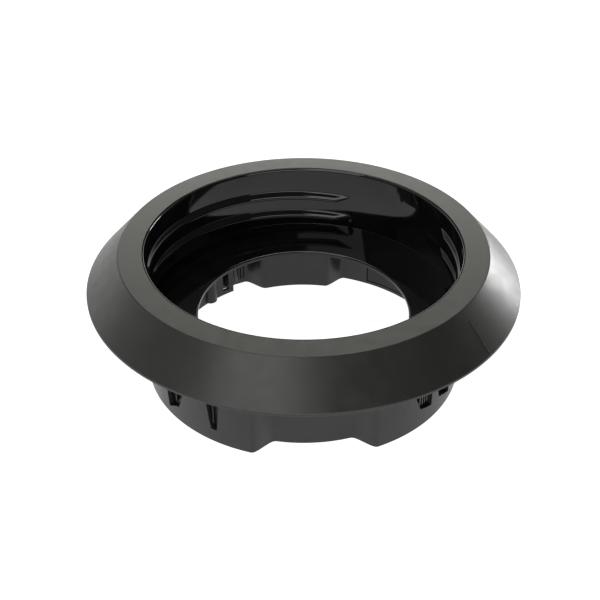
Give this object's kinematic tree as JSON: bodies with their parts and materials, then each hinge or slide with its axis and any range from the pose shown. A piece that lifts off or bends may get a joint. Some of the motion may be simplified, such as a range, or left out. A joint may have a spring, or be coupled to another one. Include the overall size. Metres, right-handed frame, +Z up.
{
  "type": "garbage disposal mounting collar",
  "caption": "Black mounting collar with a flat-topped flared skirt, a threaded gloss bore with a funnel seat and round throat, and a lower hub with recesses and catch windows.",
  "frame": {"origin": "bottom centre of the bounding box, on the axis of the bore at the hub's lower face", "axes": "+Z up along the bore's axis towards the flat top face; the first recess of the hub faces -Y"},
  "size_m": [0.16, 0.16, 0.0506],
  "materials": {
    "trim_satin": "satin",
    "bore_gloss": "mirror gloss",
    "hub_satin": "satin",
    "plate_dark": "satin",
    "block_satin": "satin"
  },
  "bodies": {
    "root": {"trim_ring": "trim_satin", "threaded_sleeve": "bore_gloss", "lobed_hub": "hub_satin", "window_plate_front": "plate_dark", "window_plate_rear": "plate_dark", "catch_block_front": "block_satin", "catch_block_rear": "block_satin"}
  },
  "joints": []
}
